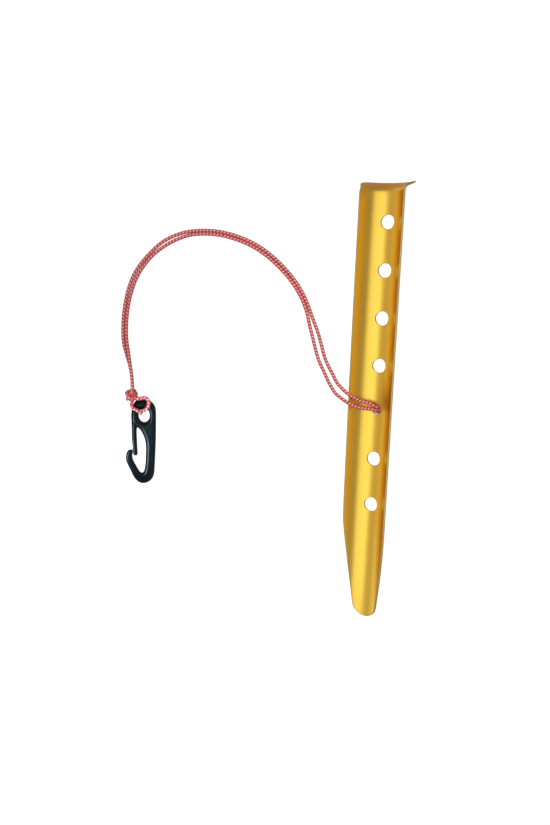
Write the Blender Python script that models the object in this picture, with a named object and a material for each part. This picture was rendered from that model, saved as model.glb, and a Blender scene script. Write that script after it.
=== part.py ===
"""Snow peg: a curved aluminium blade, a doubled cord knotted through it, and a sprung hook on the cord.

Units are metres, +Z is up and the part lies on the plane Z = 0. The blade lies along Y with its tip at -Y.
It rests on the edge of its flared lip and on its tip, rolled to one side on the knot under the cord hole.
The cord and the hook lie on the same plane, on the blade's -X side.
"""

import math

import bpy
import numpy as np
from mathutils import Vector

# Blade: a strip of sheet rolled to an arc, flared at the top and tapered to a round tip.
BLADE_LENGTH = 0.2413
SHEET = 0.001
INNER_RADIUS = 0.01334
LIP_SPREAD = math.radians(73.2)
SHOULDER_SPREAD = math.radians(68.4)
ROLL = math.radians(33.0)
TIP_SPREAD = math.radians(31.8)
TIP_ROUND = 0.006
TIP_FLAT = math.radians(4.0)
TAPER_LENGTH = 0.0555
SHOULDER_SOFTNESS = math.radians(1.2)
SHOULDER_RUN = 0.012

# Flared lip at the top.
LIP_BEND_RADIUS = 0.0032
LIP_ANGLE = math.radians(67.0)
LIP_STRAIGHT = 0.0044
LIP_CORNER = 0.0075

# Punched holes on the centre line, counted from the lip.
HOLE_COUNT = 7
HOLE_DIAMETER = 0.00794
HOLE_PITCH = 0.02588
FIRST_HOLE_FROM_TIP = 0.21999
CORD_HOLE = 5
CORD_HOLE_DIAMETER = 0.005

# Cord and the knots tied in it.
CORD_DIAMETER = 0.0019
KNOT_GAP = 0.0003
FLOOR_GAP = 0.00008
STOPPER_RADIUS = 0.003
STOPPER_STRETCH = 1.15
HOOK_KNOT_CENTRE = Vector((-0.13378, -0.00124, 0.00348))
HOOK_KNOT_RADII = Vector((0.0037, 0.0035, 0.0034))

# Hook, moulded in one, with its eye at the +Y end.
HOOK_THICKNESS = 0.004
HOOK_EDGE_ROUND = 0.0006
HOOK_PLACE = Vector((-0.12655, -0.01619, 0.00396))
HOOK_TILT = math.radians(3.3)
HOOK_TURN = math.radians(2.3)
GATE_THICKNESS = 0.0032
GATE_EDGE_ROUND = 0.0005
GATE_ROOT = Vector((-0.0053, -0.00374, 0.0))
GATE_ROOT_RADIUS = 0.0014
SEAT_GAP = 0.0003

# Fineness of the meshes.
ARC_FACETS = 27
CAP_ROWS = 8
TAPER_ROWS = 14
STRAIGHT_ROWS = 8
BEND_ROWS = 3
CORNER_ROWS = 11
HOLE_SIDES = 32
EYE_SIDES = 16
ROOT_POINTS = 7
SEAT_POINTS = 4
KNOT_SIDES = 16
KNOT_RINGS = 10
CORD_STEPS = 2
CORD_BEVEL_STEPS = 2
EDGE_BEVEL_STEPS = 2

OUTER_RADIUS = INNER_RADIUS + SHEET
MID_RADIUS = INNER_RADIUS + SHEET / 2
LIP_LENGTH = LIP_BEND_RADIUS * LIP_ANGLE + LIP_STRAIGHT

# Hand-chosen points of the cord's centre line, in metres. Each strand starts in the cord hole.
OUTER_ROUTE = [
    (0.0028, -0.0032, 0.00545),
    (0.0022, -0.0031, 0.00630),
    (0.0011, -0.0025, 0.00710),
    (-0.0017, -0.0003, 0.00745),
    (-0.0077, 0.0021, 0.00755),
    (-0.0120, 0.0041, 0.00810),
    (-0.0146, 0.0057, 0.00825),
    (-0.0175, 0.0082, 0.00755),
    (-0.0203, 0.0111, 0.00640),
    (-0.0228, 0.0154, 0.00490),
    (-0.0256, 0.0202, 0.00350),
    (-0.0279, 0.0252, 0.00230),
    (-0.0298, 0.0312, 0.00140),
    (-0.0318, 0.0373, 0.00100),
    (-0.0342, 0.0432, 0.00100),
    (-0.0375, 0.0517, 0.00100),
    (-0.0418, 0.0599, 0.00100),
    (-0.0485, 0.0689, 0.00100),
    (-0.0580, 0.0779, 0.00100),
    (-0.0671, 0.0840, 0.00100),
    (-0.0774, 0.0883, 0.00100),
    (-0.0882, 0.0907, 0.00100),
    (-0.0992, 0.0909, 0.00100),
    (-0.1085, 0.0894, 0.00100),
    (-0.1190, 0.0843, 0.00100),
    (-0.1273, 0.0767, 0.00100),
    (-0.1342, 0.0670, 0.00100),
    (-0.1381, 0.0564, 0.00100),
    (-0.1399, 0.0449, 0.00100),
    (-0.1401, 0.0356, 0.00100),
    (-0.1395, 0.0276, 0.00100),
    (-0.1377, 0.0213, 0.00100),
    (-0.1357, 0.0155, 0.00100),
    (-0.1343, 0.0090, 0.00110),
    (-0.1338, 0.0047, 0.00150),
    (-0.1336, 0.0024, 0.00200),
]
INNER_ROUTE = [
    (0.0028, -0.0053, 0.00545),
    (0.0022, -0.0053, 0.00630),
    (0.0011, -0.0049, 0.00710),
    (-0.0016, -0.0034, 0.00745),
    (-0.0075, -0.0019, 0.00755),
    (-0.0118, -0.0006, 0.00805),
    (-0.0149, 0.0011, 0.00815),
    (-0.0182, 0.0032, 0.00745),
    (-0.0212, 0.0056, 0.00625),
    (-0.0248, 0.0110, 0.00460),
    (-0.0282, 0.0176, 0.00290),
    (-0.0308, 0.0226, 0.00200),
    (-0.0328, 0.0282, 0.00130),
    (-0.0351, 0.0360, 0.00100),
    (-0.0373, 0.0431, 0.00100),
    (-0.0398, 0.0509, 0.00100),
    (-0.0436, 0.0589, 0.00100),
    (-0.0500, 0.0674, 0.00100),
    (-0.0592, 0.0761, 0.00100),
    (-0.0681, 0.0821, 0.00100),
    (-0.0780, 0.0862, 0.00100),
    (-0.0885, 0.0886, 0.00100),
    (-0.0986, 0.0888, 0.00100),
    (-0.1075, 0.0869, 0.00100),
    (-0.1170, 0.0822, 0.00100),
    (-0.1253, 0.0752, 0.00100),
    (-0.1321, 0.0654, 0.00100),
    (-0.1358, 0.0550, 0.00100),
    (-0.1376, 0.0442, 0.00100),
    (-0.1380, 0.0358, 0.00110),
    (-0.1374, 0.0280, 0.00160),
    (-0.1362, 0.0220, 0.00250),
    (-0.1351, 0.0157, 0.00310),
    (-0.1340, 0.0092, 0.00320),
    (-0.1335, 0.0049, 0.00370),
    (-0.1333, 0.0026, 0.00420),
]
LOOP_ROUTE = [
    (-0.13080, -0.00238, 0.00590),
    (-0.12987, -0.00263, 0.00720),
    (-0.12867, -0.00253, 0.00780),
    (-0.12717, -0.00213, 0.00800),
    (-0.12567, -0.00192, 0.00800),
    (-0.12427, -0.00262, 0.00800),
    (-0.12352, -0.00412, 0.00800),
    (-0.12356, -0.00592, 0.00790),
    (-0.12426, -0.00752, 0.00780),
    (-0.12526, -0.00873, 0.00740),
    (-0.12606, -0.00943, 0.00600),
    (-0.12646, -0.00953, 0.00430),
    (-0.12681, -0.00938, 0.00270),
    (-0.12731, -0.00883, 0.00150),
    (-0.12806, -0.00783, 0.00110),
    (-0.12897, -0.00663, 0.00105),
    (-0.12987, -0.00543, 0.00105),
    (-0.13057, -0.00434, 0.00115),
    (-0.13112, -0.00345, 0.00145),
]
LOOSE_END_ROUTE = [
    (-0.13272, -0.00400, 0.00606),
    (-0.13307, -0.00524, 0.00720),
    (-0.13297, -0.00664, 0.00780),
    (-0.13236, -0.00784, 0.00790),
    (-0.13106, -0.00884, 0.00790),
    (-0.12956, -0.00963, 0.00790),
    (-0.12816, -0.01043, 0.00780),
    (-0.12716, -0.01113, 0.00770),
]

# Hand-chosen points of the hook's outlines, in its own plane: X across it and Y towards its eye.
BODY_OUTSIDE = [
    (-0.00606, -0.00184),
    (-0.00640, -0.00165),
    (-0.00663, -0.00120),
    (-0.00668, -0.00020),
    (-0.00675, 0.00400),
    (-0.00645, 0.00740),
    (-0.00580, 0.00980),
    (-0.00460, 0.01170),
    (-0.00312, 0.01275),
    (-0.00127, 0.01335),
    (0.00097, 0.01338),
    (0.00300, 0.01265),
    (0.00493, 0.01150),
    (0.00621, 0.00988),
    (0.00690, 0.00787),
    (0.00707, 0.00500),
    (0.00696, -0.00250),
    (0.00672, -0.01000),
    (0.00620, -0.02000),
    (0.00571, -0.02700),
    (0.00524, -0.03000),
    (0.00398, -0.03221),
    (0.00216, -0.03369),
    (-0.00009, -0.03441),
    (-0.00258, -0.03411),
    (-0.00489, -0.03228),
    (-0.00649, -0.02973),
    (-0.00808, -0.02615),
    (-0.00959, -0.02292),
    (-0.01020, -0.02069),
    (-0.01014, -0.01869),
    (-0.00972, -0.01685),
    (-0.00871, -0.01554),
    (-0.00770, -0.01526),
    (-0.00705, -0.01546),
    (-0.00672, -0.01595),
    (-0.00662, -0.01670),
]
BODY_INSIDE = [
    (-0.00658, -0.01840),
    (-0.00653, -0.01968),
    (-0.00620, -0.02120),
    (-0.00464, -0.02432),
    (-0.00275, -0.02760),
    (-0.00180, -0.02840),
    (-0.00095, -0.02835),
    (-0.00020, -0.02755),
    (0.00047, -0.02482),
    (0.00086, -0.02092),
    (0.00108, -0.01649),
    (0.00110, -0.01254),
    (0.00068, -0.00973),
    (-0.00021, -0.00698),
    (-0.00130, -0.00470),
    (-0.00250, -0.00315),
]
SEAT_START = math.radians(55)
SEAT_END = math.radians(95)
EYE_CENTRE = (0.00045, 0.0042)
EYE_HALF_WIDTH = 0.0031
EYE_HALF_HEIGHT = 0.0039
GATE_OUTLINE = [
    (-0.00668, -0.00750),
    (-0.00654, -0.01050),
    (-0.00632, -0.01320),
    (-0.00618, -0.01520),
    (-0.00614, -0.01680),
    (-0.00602, -0.01765),
    (-0.00562, -0.01820),
    (-0.00495, -0.01852),
    (-0.00425, -0.01860),
    (-0.00376, -0.01828),
    (-0.00356, -0.01755),
    (-0.00364, -0.01590),
    (-0.00380, -0.01000),
]


def clear_scene():
    for old in list(bpy.data.objects):
        bpy.data.objects.remove(old, do_unlink=True)


def make_material(name, colour, roughness, metallic=0.0):
    material = bpy.data.materials.new(name)
    material.use_nodes = True
    shader = material.node_tree.nodes["Principled BSDF"]
    shader.inputs["Base Color"].default_value = (*colour, 1.0)
    shader.inputs["Roughness"].default_value = roughness
    shader.inputs["Metallic"].default_value = metallic
    return material


def link(name, data, material=None):
    """A new object in the scene, which shows data in the given material."""
    made = bpy.data.objects.new(name, data)
    bpy.context.scene.collection.objects.link(made)
    if material is not None:
        data.materials.append(material)
    return made


def full_spread(from_tip):
    """Half the angle of the strip's full width, which grows gently from the taper's shoulder to the lip's bend."""
    share = (from_tip - TAPER_LENGTH) / (lip_bend_start() - TAPER_LENGTH)
    left_to_grow = 1 - min(max(share, 0.0), 1.0)
    return LIP_SPREAD - (LIP_SPREAD - SHOULDER_SPREAD) * left_to_grow**2


def half_spread(from_tip):
    """Half the angle that the blade's arc spans at this distance from the tip.

    The taper is a straight line in the flat strip, softened where it meets the full width,
    and the last stretch closes like a quarter of an ellipse.
    """
    rise = (SHOULDER_SPREAD - TIP_SPREAD) / (TAPER_LENGTH - TIP_ROUND)
    taper = TIP_SPREAD + rise * (from_tip - TIP_ROUND)
    full = full_spread(from_tip)
    spread = (taper + full) / 2 - math.hypot((taper - full) / 2, SHOULDER_SOFTNESS)
    if from_tip < TIP_ROUND:
        spread *= math.sqrt(1 - (1 - from_tip / TIP_ROUND) ** 2)
    return max(spread, TIP_FLAT)


def lip_place(along_sheet):
    """Where the sheet's middle runs in the flared lip: forward, outward and tilt at a distance from the bend's start."""
    tilt = min(along_sheet / LIP_BEND_RADIUS, LIP_ANGLE)
    straight = max(along_sheet - LIP_BEND_RADIUS * LIP_ANGLE, 0.0)
    forward = LIP_BEND_RADIUS * math.sin(tilt) + straight * math.cos(tilt)
    outward = LIP_BEND_RADIUS * (1 - math.cos(tilt)) + straight * math.sin(tilt)
    return forward, outward, tilt


def lip_bend_start():
    """The distance from the tip at which the sheet starts to bend into the lip."""
    return BLADE_LENGTH - lip_place(LIP_LENGTH)[0] - SHEET / 2 * math.sin(LIP_ANGLE)


def blade_rows():
    """The blade's cross-sections from tip to lip: place along the blade, radius, tilt of the sheet, half spread."""
    places = [TIP_ROUND * (1 - math.cos(math.pi / 2 * row / CAP_ROWS)) for row in range(CAP_ROWS)]
    places += list(np.linspace(TIP_ROUND, TAPER_LENGTH + SHOULDER_RUN, TAPER_ROWS))
    places += list(np.linspace(TAPER_LENGTH + SHOULDER_RUN, lip_bend_start(), STRAIGHT_ROWS + 1)[1:-1])
    rows = [(place, MID_RADIUS, 0.0, half_spread(place)) for place in places]
    stations = [(step * (LIP_LENGTH - LIP_CORNER) / BEND_ROWS, 0.0) for step in range(BEND_ROWS)]
    for row in range(CORNER_ROWS + 1):
        swing = math.pi / 2 * row / CORNER_ROWS
        cut_back = LIP_CORNER * (1 - math.cos(swing))
        stations.append((LIP_LENGTH - LIP_CORNER * (1 - math.sin(swing)), cut_back))
    for along_sheet, cut_back in stations:
        forward, outward, tilt = lip_place(along_sheet)
        radius = MID_RADIUS + outward
        rows.append((lip_bend_start() + forward, radius, tilt, LIP_SPREAD - cut_back / radius))
    return rows


def blade_mesh():
    """Both faces of the rolled sheet on one grid, joined round its edge. The arc's axis is the local Y axis."""
    rows = blade_rows()
    columns = ARC_FACETS + 1
    points = []
    for side in (-0.5, 0.5):
        for along, radius, tilt, spread in rows:
            y = along - side * SHEET * math.sin(tilt)
            rho = radius + side * SHEET * math.cos(tilt)
            for column in range(columns):
                angle = ROLL + spread * (2 * column / ARC_FACETS - 1)
                points.append((rho * math.sin(angle), y, -rho * math.cos(angle)))
    faces = []
    other = len(rows) * columns
    for row in range(len(rows) - 1):
        for column in range(ARC_FACETS):
            a = row * columns + column
            b, c, d = a + 1, a + columns + 1, a + columns
            faces.append((a, b, c, d))
            faces.append((a + other, d + other, c + other, b + other))
    rim = [column for column in range(columns)]
    rim += [row * columns + ARC_FACETS for row in range(1, len(rows))]
    rim += [(len(rows) - 1) * columns + column for column in range(ARC_FACETS - 1, -1, -1)]
    rim += [row * columns for row in range(len(rows) - 2, 0, -1)]
    for here, there in zip(rim, rim[1:] + rim[:1]):
        faces.append((there, here, here + other, there + other))
    mesh = bpy.data.meshes.new("peg_blade")
    mesh.from_pydata(points, [], faces)
    return mesh


def resting_lean():
    """The lean that sets the lip's edge and the tip on the floor together, as the lip stands out past the arc."""
    lip_rise = lip_place(LIP_LENGTH)[1]
    return math.atan2(lip_rise, BLADE_LENGTH - TIP_ROUND)


def set_on_floor(blade):
    """Centres the object's box over the origin and puts its lowest point on the floor."""
    bpy.context.view_layer.update()
    turn = np.array(blade.matrix_world)[:3, :3]
    corners = np.array([vertex.co for vertex in blade.data.vertices]) @ turn.T
    low, high = corners.min(axis=0), corners.max(axis=0)
    blade.location = (-(low[0] + high[0]) / 2, -(low[1] + high[1]) / 2, -low[2])
    bpy.context.view_layer.update()


def hole_place(number):
    """The distance of a hole's centre from the tip. Holes are counted from the lip."""
    return FIRST_HOLE_FROM_TIP - (number - 1) * HOLE_PITCH


def punch_mesh():
    """Seven round punches on the blade's centre line, each square to the sheet."""
    outward = np.array([math.sin(ROLL), 0.0, -math.cos(ROLL)])
    across = np.array([math.cos(ROLL), 0.0, math.sin(ROLL)])
    along = np.array([0.0, 1.0, 0.0])
    points, faces = [], []
    for number in range(1, HOLE_COUNT + 1):
        radius = (CORD_HOLE_DIAMETER if number == CORD_HOLE else HOLE_DIAMETER) / 2
        first = len(points)
        for depth in (-2 * SHEET, 2 * SHEET):
            centre = outward * (MID_RADIUS + depth) + along * hole_place(number)
            for side in range(HOLE_SIDES):
                turn = 2 * math.pi * side / HOLE_SIDES
                points.append(centre + radius * (across * math.cos(turn) + along * math.sin(turn)))
        for side in range(HOLE_SIDES):
            a, b = first + side, first + (side + 1) % HOLE_SIDES
            faces.append((b, a, a + HOLE_SIDES, b + HOLE_SIDES))
        faces.append(tuple(first + side for side in range(HOLE_SIDES)))
        faces.append(tuple(first + HOLE_SIDES + side for side in reversed(range(HOLE_SIDES))))
    mesh = bpy.data.meshes.new("punches")
    mesh.from_pydata(points, [], faces)
    return mesh


def make_blade(material):
    blade = link("peg_blade", blade_mesh(), material)
    blade.rotation_euler.x = resting_lean()
    set_on_floor(blade)
    punches = link("punches", punch_mesh())
    punches.parent = blade
    punches.hide_render = True
    punches.display_type = "WIRE"
    cut = blade.modifiers.new("holes", "BOOLEAN")
    cut.operation = "DIFFERENCE"
    cut.object = punches
    blade.data.shade_smooth()
    blade.data.set_sharp_from_angle(angle=math.radians(30))
    return blade


def make_ball(name, centre, radii, material):
    """A knot's outer shape: a round body stretched to the knot's own three radii."""
    points = [(0.0, 0.0, 1.0)]
    for ring in range(1, KNOT_RINGS):
        polar = math.pi * ring / KNOT_RINGS
        for step in range(KNOT_SIDES):
            turn = 2 * math.pi * step / KNOT_SIDES
            points.append((math.sin(polar) * math.cos(turn), math.sin(polar) * math.sin(turn), math.cos(polar)))
    points.append((0.0, 0.0, -1.0))
    faces = []
    for step in range(KNOT_SIDES):
        after = (step + 1) % KNOT_SIDES
        faces.append((0, 1 + step, 1 + after))
        for ring in range(KNOT_RINGS - 2):
            a, b = 1 + ring * KNOT_SIDES + step, 1 + ring * KNOT_SIDES + after
            faces.append((a, a + KNOT_SIDES, b + KNOT_SIDES, b))
        last = 1 + (KNOT_RINGS - 2) * KNOT_SIDES
        faces.append((last + after, last + step, len(points) - 1))
    mesh = bpy.data.meshes.new(name)
    mesh.from_pydata([[axis * radius for axis, radius in zip(point, radii)] for point in points], [], faces)
    ball = link(name, mesh, material)
    ball.location = centre
    mesh.shade_smooth()
    return ball


def make_stopper(blade, material):
    """The knot under the cord hole. It lies on the floor against the blade's round back and holds the roll."""
    radii = Vector((STOPPER_RADIUS, STOPPER_RADIUS * STOPPER_STRETCH, STOPPER_RADIUS))
    axis = blade.matrix_world @ Vector((0.0, hole_place(CORD_HOLE), 0.0))
    height = STOPPER_RADIUS + FLOOR_GAP
    reach = OUTER_RADIUS + STOPPER_RADIUS + KNOT_GAP
    aside = math.sqrt(reach**2 - (axis.z - height) ** 2)
    return make_ball("stopper_knot", (axis.x + aside, axis.y, height), radii, material)


def smooth_points(route, steps):
    """Points of a smooth curve through the route: each cubic leaves a point along its neighbours' chord."""
    knots = [Vector(point) for point in route]
    padded = [2 * knots[0] - knots[1]] + knots + [2 * knots[-1] - knots[-2]]
    points = []
    for before, start, end, after in zip(padded, padded[1:], padded[2:], padded[3:]):
        span = (end - start).length
        leave = (end - before) / max((end - before).length, span) * span
        arrive = (after - start) / max((after - start).length, span) * span
        for step in range(steps):
            t = step / steps
            points.append(
                start * (1 + 2 * t) * (1 - t) ** 2
                + leave * t * (1 - t) ** 2
                + end * t**2 * (3 - 2 * t)
                - arrive * t**2 * (1 - t)
            )
    return points + [knots[-1]]


def make_cord(name, route, material):
    """A round cord along a smooth curve through the route's points, closed at both ends."""
    data = bpy.data.curves.new(name, "CURVE")
    data.dimensions = "3D"
    data.bevel_depth = CORD_DIAMETER / 2
    data.bevel_resolution = CORD_BEVEL_STEPS
    data.use_fill_caps = True
    points = smooth_points(route, CORD_STEPS)
    spline = data.splines.new("POLY")
    spline.points.add(len(points) - 1)
    for slot, point in zip(spline.points, points):
        slot.co = (*point, 1.0)
    return link(name, data, material)


def root_arc(radius, start, end, count):
    """Points of an arc about the gate's root, from one angle to another."""
    turns = [start + (end - start) * step / (count - 1) for step in range(count)]
    return [(GATE_ROOT.x + radius * math.cos(turn), GATE_ROOT.y + radius * math.sin(turn)) for turn in turns]


def ellipse(centre, half_width, half_height, count):
    turns = [2 * math.pi * step / count for step in range(count)]
    return [(centre[0] + half_width * math.cos(t), centre[1] + half_height * math.sin(t)) for t in turns]


def add_outline(data, corners):
    """One closed outline through the points, smoothed by halving each span once."""
    knots = [Vector((x, y, 0.0)) for x, y in corners]
    points = smooth_points(knots[-1:] + knots + knots[:2], 2)[2:-3]
    spline = data.splines.new("POLY")
    spline.points.add(len(points) - 1)
    for slot, point in zip(spline.points, points):
        slot.co = (*point, 1.0)
    spline.use_cyclic_u = True


def make_moulding(name, outlines, thickness, edge_round, material):
    """A flat moulding with rounded edges: filled outlines, extruded and bevelled inside their own lines."""
    data = bpy.data.curves.new(name, "CURVE")
    data.dimensions = "2D"
    data.fill_mode = "BOTH"
    data.bevel_depth = edge_round
    data.bevel_resolution = EDGE_BEVEL_STEPS
    data.offset = -edge_round
    data.extrude = thickness / 2 - edge_round
    for outline in outlines:
        add_outline(data, outline)
    return link(name, data, material)


def make_hook(material):
    """The hook lies tilted on the floor, with its eye on the cord that passes under it."""
    rest = link("hook_rest", None)
    rest.location = HOOK_PLACE
    rest.rotation_euler = (HOOK_TILT, 0.0, HOOK_TURN)
    seat = root_arc(GATE_ROOT_RADIUS + SEAT_GAP, SEAT_START, SEAT_END, SEAT_POINTS)
    eye = ellipse(EYE_CENTRE, EYE_HALF_WIDTH, EYE_HALF_HEIGHT, EYE_SIDES)
    outside = BODY_OUTSIDE + BODY_INSIDE + seat
    body = make_moulding("hook_body", [outside, eye], HOOK_THICKNESS, HOOK_EDGE_ROUND, material)
    body.parent = rest
    outline = root_arc(GATE_ROOT_RADIUS, 0.0, math.pi, ROOT_POINTS) + GATE_OUTLINE
    about_root = [(x - GATE_ROOT.x, y - GATE_ROOT.y) for x, y in outline]
    gate = make_moulding("hook_gate", [about_root], GATE_THICKNESS, GATE_EDGE_ROUND, material)
    gate.location = GATE_ROOT
    gate.parent = rest


def build():
    clear_scene()
    gold = make_material("gold_anodised", (0.80, 0.50, 0.10), 0.35, 1.0)
    cord = make_material("red_cord", (0.55, 0.08, 0.08), 0.8)
    nylon = make_material("black_nylon", (0.02, 0.025, 0.03), 0.45)
    blade = make_blade(gold)
    make_stopper(blade, cord)
    make_cord("outer_strand", OUTER_ROUTE, cord)
    make_cord("inner_strand", INNER_ROUTE, cord)
    make_cord("hook_loop", LOOP_ROUTE, cord)
    make_cord("loose_end", LOOSE_END_ROUTE, cord)
    make_ball("hook_knot", HOOK_KNOT_CENTRE, HOOK_KNOT_RADII, cord)
    make_hook(nylon)


build()
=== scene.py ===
"""Snow peg with a corded hook: the finished surfaces, materials, floor, lights and camera.

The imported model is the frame. Its plain solids are replaced by pieces worked out with numpy:
a rolled sheet with punched holes and a flared lip, a braided cord with two tied knots,
and a soft-edged moulded hook with its springy gate. Units are metres and +Z is up.
"""

import math

import bmesh
import bpy
import numpy as np
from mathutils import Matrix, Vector
from mathutils.geometry import tessellate_polygon

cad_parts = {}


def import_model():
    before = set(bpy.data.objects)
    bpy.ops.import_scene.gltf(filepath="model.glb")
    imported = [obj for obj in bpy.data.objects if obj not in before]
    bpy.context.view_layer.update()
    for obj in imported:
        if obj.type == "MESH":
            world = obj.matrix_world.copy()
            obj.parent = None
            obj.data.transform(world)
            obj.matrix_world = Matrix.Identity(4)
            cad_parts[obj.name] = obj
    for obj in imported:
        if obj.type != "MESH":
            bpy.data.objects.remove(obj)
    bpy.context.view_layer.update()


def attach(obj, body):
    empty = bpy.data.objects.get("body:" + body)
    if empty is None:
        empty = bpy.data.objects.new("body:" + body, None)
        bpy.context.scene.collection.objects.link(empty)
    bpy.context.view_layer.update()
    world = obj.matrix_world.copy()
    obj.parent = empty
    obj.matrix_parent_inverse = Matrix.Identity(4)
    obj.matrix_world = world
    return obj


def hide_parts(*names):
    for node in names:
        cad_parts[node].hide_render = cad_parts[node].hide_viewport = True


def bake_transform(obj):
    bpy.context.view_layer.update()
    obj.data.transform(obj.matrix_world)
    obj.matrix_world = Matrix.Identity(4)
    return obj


# The room: how bright it is overhead and at the horizon, and how fast it changes between the two.
ZENITH_LIGHT = 0.10
HORIZON_LIGHT = 0.72
ZENITH_FALL = 4.0
ROOM_COLOUR = (1.0, 0.90, 0.82)

# The floor: its own grey, the glow that makes it white to the camera, and its reach.
FLOOR_GREY = 0.35
FLOOR_GLOW = 0.86
FLOOR_REACH = 40.0

# The lamps: a softbox close above the blade and a narrow lamp left of the hook. Each has its place, the
# point that it faces, its size, the brightness of its surface, its colour and the angle of its light.
LAMPS = {
    "blade_softbox": (
        (-0.052, -0.0175, 0.115), (-0.052, -0.0175, 0.0), (0.140, 0.335), 1.42, (0.97, 1.03, 1.03), 180
    ),
    "hook_lamp": ((-0.186, -0.055, 0.090), (-0.128, -0.03, 0.0), (0.024, 0.10), 4.0, (0.70, 1.0, 1.15), 40),
}

# Camera, set by the photograph's perspective.
CAMERA_PLACE = (-0.0512, 0.04663, 0.52672)
CAMERA_TURN = (math.radians(-5.849), math.radians(0.5495), math.radians(2.637))
FRAME_HEIGHT_MM = 24.0
LENS_MM = 27.55
NEAR_LIMIT = 0.01

# Blade: its place, its lean on the floor and the sizes of the solid that this sheet replaces.
# A spread is half of the angle that the arc spans.
BLADE_PLACE = (-0.005004, -0.120997, 0.014196)
BLADE_LEAN = math.radians(1.46066)
BLADE_LENGTH = 0.2413
SHEET = 0.001
MID_RADIUS = 0.01384
LIP_SPREAD = math.radians(73.2)
SHOULDER_SPREAD = math.radians(68.4)
ROLL = math.radians(33.0)
TIP_SPREAD = math.radians(31.8)
TIP_ROUND = 0.006
TIP_FLAT = math.radians(4.0)
TAPER_LENGTH = 0.0555
SHOULDER_SOFTNESS = math.radians(1.2)
LIP_BEND_RADIUS = 0.0032
LIP_ANGLE = math.radians(64.5)
LIP_STRAIGHT = 0.0044
LIP_CORNER_RUN = 0.0095
LIP_CORNER_CUT = 0.0085
LIP_SKEW = math.radians(2.6)
HOLE_COUNT = 7
HOLE_RADIUS = 0.00386
HOLE_PITCH = 0.02588
FIRST_HOLE_FROM_TIP = 0.21999
CORD_HOLE = 5
CORD_HOLE_RADIUS = 0.0025
CORD_HOLE_SHIFT = 0.0016

# Softness of the sheet's cut edges, and how far before the bend its finish begins to change: a duller
# roughness and a browner painted shade.
EDGE_SOFTNESS = 0.00036
LIP_BLUR = 0.0012

# Fineness of the sheet's mesh. Each hole lies in a square tile of its own.
EDGE_STEPS = 4
TILE_HALF = 0.006
TILE_CELLS = 16
TILE_RINGS = 5
WING_CELLS = 16
CAP_ROWS = 16
TAPER_ROWS = 26
BETWEEN_ROWS = 6
CORNER_ROWS = 22
ROW_GAP = 0.0001

# Cord and its braid: four carriers each way, each one cell of the braid behind the next.
# The rounding powers say how full a carrier's crown is across it and along it.
CORD_DIAMETER = 0.0019
CARRIERS = 4
BRAID_CELL = 0.00095
BRAID_RELIEF = 0.00022
BRAID_MIDDLE = 0.6
ROUNDING_ACROSS = 0.7
ROUNDING_ALONG = 0.45
CORD_SIDES = 24
RING_STEP = BRAID_CELL / 8
CURVE_STEPS = 12

# Colours of the finishes.
# The braid's gaps: a dark red that paints shade between the carriers.
GAP_SHADE_RED = (0.19, 0.010, 0.015)
RED_YARN = (0.66, 0.060, 0.072)
PALE_YARN = (0.86, 0.45, 0.42)
MELTED_DARK = (0.10, 0.012, 0.012)
MELTED_RED = (0.38, 0.06, 0.06)
GOLD_LOW = (0.69, 0.445, 0.054)
GOLD_HIGH = (0.735, 0.475, 0.066)
GOLD_TINT = (0.85, 0.62, 0.30, 1.0)
# The lip's flare: a browner colour that paints shade on it.
LIP_SHADE_BROWN = (0.37, 0.140, 0.032)
# The cut edge: a darker, greyer colour that paints shade along it.
CUT_EDGE_SHADE = (0.34, 0.26, 0.13)
NYLON_LOW = (0.0008, 0.0025, 0.0035)
NYLON_HIGH = (0.0016, 0.004, 0.0055)

# Roughness of the gold: of its face, what the grain adds and what the bend into the lip adds.
FACE_ROUGHNESS = 0.31
GRAIN_ROUGHNESS = 0.08
BENT_ROUGHNESS = 0.12

# Hook: its place, tilt and turn, its thickness, the gate's root and bend, and the eye.
HOOK_PLACE = Vector((-0.12655, -0.01619, 0.00396))
HOOK_TILT = math.radians(3.3)
HOOK_TURN = math.radians(2.3)
HOOK_THICKNESS = 0.004
GATE_THICKNESS = 0.0032
GATE_ROOT = (-0.0053, -0.00374)
SEAT_RADIUS = 0.0017
SEAT_START = math.radians(55)
SEAT_END = math.radians(95)
SEAT_POINTS = 4
GATE_FULL_UNTIL = 0.0040
GATE_THINS_OVER = 0.0080
EYE_CENTRE = (0.00045, 0.0042)
EYE_HALF_WIDTH = 0.0031
EYE_HALF_HEIGHT = 0.0039
EYE_POINTS = 140

# The mouldings' round edges: the widest rounding, the share of the free room that it takes, the half height
# of the short wall between two roundings, and how far inside the rounding the flat faces begin.
EDGE_ROUND = 0.0022
ROOM_SHARE = 0.86
BODY_WALL = 0.0003
GATE_WALL = 0.0002
FLAT_BEGINS = 1.08
OUTLINE_CURVE_STEPS = 10
OUTLINE_STEP = 0.0002
ROUND_STEPS = 9
ROOM_WINDOW = 15
SMALLEST = 1e-7
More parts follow.
